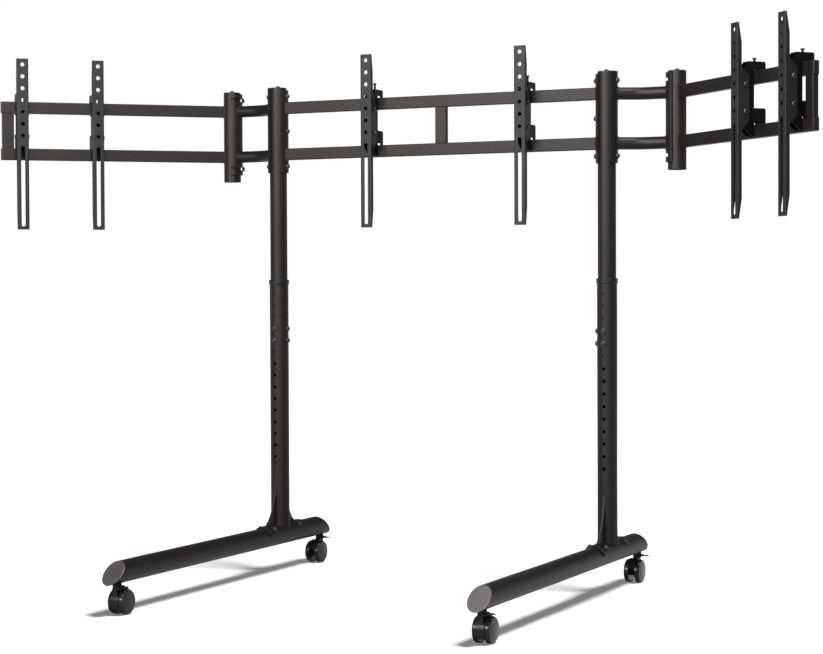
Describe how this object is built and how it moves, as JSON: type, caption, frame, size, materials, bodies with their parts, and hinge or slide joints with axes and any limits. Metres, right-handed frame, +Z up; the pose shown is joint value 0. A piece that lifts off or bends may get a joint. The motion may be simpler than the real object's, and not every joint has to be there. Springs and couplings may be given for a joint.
{
  "type": "triple monitor floor stand",
  "caption": "Rolling floor stand for a row of screens: telescopic posts on casters, a centre frame, folding wing frames and tilting slotted arms on hook brackets.",
  "frame": {"origin": "on the floor at the middle of the footprint", "axes": "+X to the stand's right seen from the front, +Y to its back, +Z up; the screens face -Y"},
  "size_m": [2.1138, 1.039, 1.32],
  "materials": {
    "black_powder_coat": "satin black powder coat on steel tube",
    "charcoal_powder_coat": "satin charcoal powder coat on pressed steel",
    "bracket_black": "black powder coat on pressed steel",
    "black_oxide_steel": "black oxide on steel screws",
    "black_plastic": "moulded black plastic, lightly textured",
    "caster_nylon": "smooth black nylon"
  },
  "bodies": {
    "left_foot": {"leg_tube_left": "black_powder_coat", "leg_cap_left_front": "black_plastic", "leg_cap_left_rear": "black_plastic", "lower_post_left": "black_powder_coat", "post_collar_left": "black_plastic"},
    "right_foot": {"leg_tube_right": "black_powder_coat", "leg_cap_right_front": "black_plastic", "leg_cap_right_rear": "black_plastic", "lower_post_right": "black_powder_coat", "post_collar_right": "black_plastic"},
    "upper_frame": {"centre_frame": "black_powder_coat", "upper_post_left": "black_powder_coat", "post_cap_left": "black_plastic", "side_arm_left": "black_powder_coat", "upper_post_right": "black_powder_coat", "post_cap_right": "black_plastic", "side_arm_right": "black_powder_coat"},
    "left_wing": {"wing_frame_left": "black_powder_coat", "wing_cap_left": "black_plastic", "pivot_bolt_left_lower": "black_oxide_steel", "pivot_bolt_left_upper": "black_oxide_steel"},
    "right_wing": {"wing_frame_right": "black_powder_coat", "wing_cap_right": "black_plastic", "pivot_bolt_right_lower": "black_oxide_steel", "pivot_bolt_right_upper": "black_oxide_steel"},
    "centre_left_screw": {"level_screw_centre_left": "black_oxide_steel"},
    "centre_left_hook": {"hook_bracket_centre_left": "bracket_black"},
    "centre_left_arm": {"screen_arm_centre_left": "charcoal_powder_coat"},
    "centre_right_screw": {"level_screw_centre_right": "black_oxide_steel"},
    "centre_right_hook": {"hook_bracket_centre_right": "bracket_black"},
    "centre_right_arm": {"screen_arm_centre_right": "charcoal_powder_coat"},
    "left_inner_screw": {"level_screw_left_inner": "black_oxide_steel"},
    "left_inner_hook": {"hook_bracket_left_inner": "bracket_black"},
    "left_inner_arm": {"screen_arm_left_inner": "charcoal_powder_coat"},
    "left_outer_screw": {"level_screw_left_outer": "black_oxide_steel"},
    "left_outer_hook": {"hook_bracket_left_outer": "bracket_black"},
    "left_outer_arm": {"screen_arm_left_outer": "charcoal_powder_coat"},
    "right_inner_screw": {"level_screw_right_inner": "black_oxide_steel"},
    "right_inner_hook": {"hook_bracket_right_inner": "bracket_black"},
    "right_inner_arm": {"screen_arm_right_inner": "charcoal_powder_coat"},
    "right_outer_screw": {"level_screw_right_outer": "black_oxide_steel"},
    "right_outer_hook": {"hook_bracket_right_outer": "bracket_black"},
    "right_outer_arm": {"screen_arm_right_outer": "charcoal_powder_coat"},
    "left_front_caster": {"caster_hood_left_front": "black_plastic"},
    "left_front_wheel_left": {"caster_wheel_left_front_left": "caster_nylon"},
    "left_front_wheel_right": {"caster_wheel_left_front_right": "caster_nylon"},
    "left_front_lever": {"brake_lever_left_front": "black_plastic"},
    "left_rear_caster": {"caster_hood_left_rear": "black_plastic"},
    "left_rear_wheel_left": {"caster_wheel_left_rear_left": "caster_nylon"},
    "left_rear_wheel_right": {"caster_wheel_left_rear_right": "caster_nylon"},
    "left_rear_lever": {"brake_lever_left_rear": "black_plastic"},
    "right_front_caster": {"caster_hood_right_front": "black_plastic"},
    "right_front_wheel_left": {"caster_wheel_right_front_left": "caster_nylon"},
    "right_front_wheel_right": {"caster_wheel_right_front_right": "caster_nylon"},
    "right_front_lever": {"brake_lever_right_front": "black_plastic"},
    "right_rear_caster": {"caster_hood_right_rear": "black_plastic"},
    "right_rear_wheel_left": {"caster_wheel_right_rear_left": "caster_nylon"},
    "right_rear_wheel_right": {"caster_wheel_right_rear_right": "caster_nylon"},
    "right_rear_lever": {"brake_lever_right_rear": "black_plastic"}
  },
  "joints": [
    {"name": "left_post_height", "type": "slide", "parent": "left_foot", "child": "upper_frame", "axis": [0, 0, 1], "range_m": [-0.27, 0.09]},
    {"name": "right_post_height", "type": "slide", "parent": "upper_frame", "child": "right_foot", "axis": [0, 0, -1], "range_m": [-0.27, 0.09]},
    {"name": "left_wing_fold", "type": "hinge", "parent": "upper_frame", "child": "left_wing", "pos_m": [-0.612, 0.317, 1.14], "axis": [0, 0, -1], "range_deg": [-17, 103]},
    {"name": "right_wing_fold", "type": "hinge", "parent": "upper_frame", "child": "right_wing", "pos_m": [0.612, 0.317, 1.14], "axis": [0, 0, 1], "range_deg": [-17, 103]},
    {"name": "centre_left_slide", "type": "slide", "parent": "upper_frame", "child": "centre_left_screw", "axis": [1, 0, 0], "range_m": [-0.215, 0.14]},
    {"name": "centre_left_level", "type": "slide", "parent": "centre_left_screw", "child": "centre_left_hook", "axis": [0, 0, 1], "range_m": [-0.004, 0.004]},
    {"name": "centre_left_tilt", "type": "hinge", "parent": "centre_left_hook", "child": "centre_left_arm", "pos_m": [-0.17, 0.244, 1.1835], "axis": [1, 0, 0], "range_deg": [-3, 8]},
    {"name": "centre_right_slide", "type": "slide", "parent": "upper_frame", "child": "centre_right_screw", "axis": [1, 0, 0], "range_m": [-0.19, 0.14]},
    {"name": "centre_right_level", "type": "slide", "parent": "centre_right_screw", "child": "centre_right_hook", "axis": [0, 0, 1], "range_m": [-0.004, 0.004]},
    {"name": "centre_right_tilt", "type": "hinge", "parent": "centre_right_hook", "child": "centre_right_arm", "pos_m": [0.246, 0.244, 1.1835], "axis": [1, 0, 0], "range_deg": [-3, 8]},
    {"name": "left_inner_slide", "type": "slide", "parent": "left_wing", "child": "left_inner_screw", "axis": [-0.7314, -0.682, 0], "range_m": [-0.2, 0.079]},
    {"name": "left_inner_level", "type": "slide", "parent": "left_inner_screw", "child": "left_inner_hook", "axis": [0, 0, 1], "range_m": [-0.004, 0.004]},
    {"name": "left_inner_tilt", "type": "hinge", "parent": "left_inner_hook", "child": "left_inner_arm", "pos_m": [-0.85488, 0.04813, 1.1835], "axis": [0.7314, 0.682, 0], "range_deg": [-3, 8]},
    {"name": "left_outer_slide", "type": "slide", "parent": "left_wing", "child": "left_outer_screw", "axis": [-0.7314, -0.682, 0], "range_m": [-0.077, 0.003]},
    {"name": "left_outer_level", "type": "slide", "parent": "left_outer_screw", "child": "left_outer_hook", "axis": [0, 0, 1], "range_m": [-0.004, 0.004]},
    {"name": "left_outer_tilt", "type": "hinge", "parent": "left_outer_hook", "child": "left_outer_arm", "pos_m": [-0.99457, -0.08213, 1.1835], "axis": [0.7314, 0.682, 0], "range_deg": [-3, 8]},
    {"name": "right_inner_slide", "type": "slide", "parent": "right_wing", "child": "right_inner_screw", "axis": [0.7314, -0.682, 0], "range_m": [-0.2, 0.088]},
    {"name": "right_inner_level", "type": "slide", "parent": "right_inner_screw", "child": "right_inner_hook", "axis": [0, 0, 1], "range_m": [-0.004, 0.004]},
    {"name": "right_inner_tilt", "type": "hinge", "parent": "right_inner_hook", "child": "right_inner_arm", "pos_m": [0.8483, 0.05427, 1.1835], "axis": [0.7314, -0.682, 0], "range_deg": [-3, 8]},
    {"name": "right_outer_slide", "type": "slide", "parent": "right_wing", "child": "right_outer_screw", "axis": [0.7314, -0.682, 0], "range_m": [-0.073, 0.007]},
    {"name": "right_outer_level", "type": "slide", "parent": "right_outer_screw", "child": "right_outer_hook", "axis": [0, 0, 1], "range_m": [-0.004, 0.004]},
    {"name": "right_outer_tilt", "type": "hinge", "parent": "right_outer_hook", "child": "right_outer_arm", "pos_m": [0.99164, -0.07941, 1.1835], "axis": [0.7314, -0.682, 0], "range_deg": [-3, 8]},
    {"name": "left_front_swivel", "type": "hinge", "parent": "left_foot", "child": "left_front_caster", "pos_m": [-0.45, -0.48, 0.0725], "axis": [0, 0, 1], "continuous": true},
    {"name": "left_front_roll_left", "type": "hinge", "parent": "left_front_caster", "child": "left_front_wheel_left", "pos_m": [-0.4645, -0.462, 0.029], "axis": [1, 0, 0], "continuous": true},
    {"name": "left_front_roll_right", "type": "hinge", "parent": "left_front_caster", "child": "left_front_wheel_right", "pos_m": [-0.4355, -0.462, 0.029], "axis": [1, 0, 0], "continuous": true},
    {"name": "left_front_brake", "type": "hinge", "parent": "left_front_caster", "child": "left_front_lever", "pos_m": [-0.4375, -0.48, 0.0655], "axis": [0, 1, 0], "range_deg": [-5, 15]},
    {"name": "left_rear_swivel", "type": "hinge", "parent": "left_foot", "child": "left_rear_caster", "pos_m": [-0.45, 0.488, 0.0725], "axis": [0, 0, 1], "continuous": true},
    {"name": "left_rear_roll_left", "type": "hinge", "parent": "left_rear_caster", "child": "left_rear_wheel_left", "pos_m": [-0.4645, 0.47, 0.029], "axis": [1, 0, 0], "continuous": true},
    {"name": "left_rear_roll_right", "type": "hinge", "parent": "left_rear_caster", "child": "left_rear_wheel_right", "pos_m": [-0.4355, 0.47, 0.029], "axis": [1, 0, 0], "continuous": true},
    {"name": "left_rear_brake", "type": "hinge", "parent": "left_rear_caster", "child": "left_rear_lever", "pos_m": [-0.4375, 0.488, 0.0655], "axis": [0, 1, 0], "range_deg": [-5, 15]},
    {"name": "right_front_swivel", "type": "hinge", "parent": "right_foot", "child": "right_front_caster", "pos_m": [0.45, -0.48, 0.0725], "axis": [0, 0, 1], "continuous": true},
    {"name": "right_front_roll_left", "type": "hinge", "parent": "right_front_caster", "child": "right_front_wheel_left", "pos_m": [0.4355, -0.462, 0.029], "axis": [1, 0, 0], "continuous": true},
    {"name": "right_front_roll_right", "type": "hinge", "parent": "right_front_caster", "child": "right_front_wheel_right", "pos_m": [0.4645, -0.462, 0.029], "axis": [1, 0, 0], "continuous": true},
    {"name": "right_front_brake", "type": "hinge", "parent": "right_front_caster", "child": "right_front_lever", "pos_m": [0.4625, -0.48, 0.0655], "axis": [0, 1, 0], "range_deg": [-5, 15]},
    {"name": "right_rear_swivel", "type": "hinge", "parent": "right_foot", "child": "right_rear_caster", "pos_m": [0.45, 0.488, 0.0725], "axis": [0, 0, 1], "continuous": true},
    {"name": "right_rear_roll_left", "type": "hinge", "parent": "right_rear_caster", "child": "right_rear_wheel_left", "pos_m": [0.4355, 0.47, 0.029], "axis": [1, 0, 0], "continuous": true},
    {"name": "right_rear_roll_right", "type": "hinge", "parent": "right_rear_caster", "child": "right_rear_wheel_right", "pos_m": [0.4645, 0.47, 0.029], "axis": [1, 0, 0], "continuous": true},
    {"name": "right_rear_brake", "type": "hinge", "parent": "right_rear_caster", "child": "right_rear_lever", "pos_m": [0.4625, 0.488, 0.0655], "axis": [0, 1, 0], "range_deg": [-5, 15]}
  ],
  "couplings": [
    {"joint": "right_post_height", "follows": "left_post_height", "ratio": 1}
  ]
}
